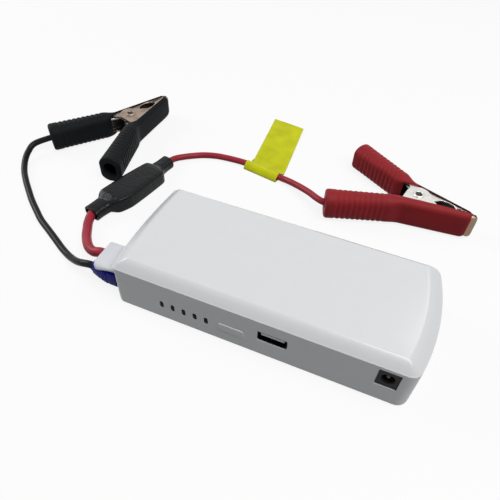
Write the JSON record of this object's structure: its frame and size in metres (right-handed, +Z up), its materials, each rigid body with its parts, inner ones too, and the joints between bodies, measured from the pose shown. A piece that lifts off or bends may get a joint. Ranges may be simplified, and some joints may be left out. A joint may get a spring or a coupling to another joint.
{
  "type": "jump starter pack",
  "caption": "Slim battery jump starter pack with a plug-in lead set, two hinged spring clamps, a press button, status lights, a charging jack and a data port.",
  "frame": {"origin": "centre of the case's flat base, on the surface it lies on", "axes": "+X along the case towards the charging jack's end, -Y out of the face with the button and ports, +Z up through the crowned top"},
  "size_m": [0.2761, 0.1898, 0.029],
  "materials": {
    "white_plastic": "gloss",
    "satin_plastic": "satin",
    "steel": "satin",
    "plated_steel": "gloss",
    "black_plastic": "satin",
    "smoked_lens": "gloss",
    "led_resin": "gloss",
    "circuit_board": "satin",
    "brass": "satin",
    "ferrite": "matte",
    "can_aluminium": "satin",
    "cell_foil": "satin",
    "foam": "matte",
    "red_rubber": "satin",
    "black_rubber": "satin",
    "blue_plastic": "satin",
    "white_rubber": "matte",
    "black_sleeve": "satin",
    "yellow_film": "satin",
    "bright_metal": "gloss",
    "copper_metal": "satin"
  },
  "bodies": {
    "case": {"top_cover": "white_plastic", "bottom_case": "satin_plastic", "case_screws": "steel", "light_windows": "smoked_lens", "status_leds": "led_resin", "indicator_board": "circuit_board", "switch_body": "black_plastic", "link_pins": "brass", "main_board": "circuit_board", "board_screws": "steel", "usb_shell": "plated_steel", "usb_tongue": "white_plastic", "charge_jack": "black_plastic", "jack_pin": "plated_steel", "power_inductor": "ferrite", "power_transistors": "black_plastic", "capacitors": "can_aluminium", "controller_chip": "black_plastic", "battery_cell_1": "cell_foil", "battery_cell_2": "cell_foil", "battery_cell_3": "cell_foil", "battery_pad": "foam", "cell_links": "plated_steel", "positive_wire": "red_rubber", "negative_wire": "black_rubber", "output_socket": "blue_plastic", "output_pins": "brass", "cover_anchor": "white_rubber"},
    "button": {"power_button": "satin_plastic", "switch_plunger": "black_plastic"},
    "socket_cover": {"socket_cover": "white_rubber"},
    "leads": {"plug_body": "blue_plastic", "plug_contacts": "brass", "black_lead": "black_rubber", "red_lead_short": "red_rubber", "red_lead_long": "red_rubber", "lead_module": "black_sleeve", "module_board": "circuit_board", "module_diodes": "black_plastic", "flag_label": "yellow_film", "red_outer_jaw": "bright_metal", "red_outer_grip": "red_rubber", "red_rivet": "plated_steel", "red_spring": "steel", "red_crimp": "brass", "black_inner_jaw": "copper_metal", "black_inner_grip": "black_rubber", "black_rivet": "plated_steel", "black_spring": "steel", "black_crimp": "brass"},
    "red_arm": {"red_inner_jaw": "bright_metal", "red_inner_grip": "red_rubber"},
    "black_arm": {"black_outer_jaw": "copper_metal", "black_outer_grip": "black_rubber"}
  },
  "joints": [
    {"name": "button_press", "type": "slide", "parent": "case", "child": "button", "axis": [0, 1, 0], "range_m": [0, 0.0005], "stiffness_N_per_m": 800, "springref_m": -0.0005},
    {"name": "cover_lift", "type": "hinge", "parent": "case", "child": "socket_cover", "pos_m": [-0.074, -0.01925, 0.0164], "axis": [0, 1, 0], "range_deg": [0, 75]},
    {"name": "plug_pull", "type": "slide", "parent": "case", "child": "leads", "axis": [-1, 0, 0], "range_m": [0, 0.015]},
    {"name": "red_clamp_open", "type": "hinge", "parent": "leads", "child": "red_arm", "pos_m": [0.05123, 0.09363, 0.0088], "axis": [0, 0, 1], "range_deg": [0, 38], "stiffness_Nm_per_rad": 0.8, "springref_deg": -14.32, "deforming": ["red_spring"]},
    {"name": "black_clamp_open", "type": "hinge", "parent": "leads", "child": "black_arm", "pos_m": [-0.14285, 0.09657, 0.0088], "axis": [0, 0, -1], "range_deg": [0, 38], "stiffness_Nm_per_rad": 0.8, "springref_deg": -14.32, "deforming": ["black_spring"]}
  ]
}
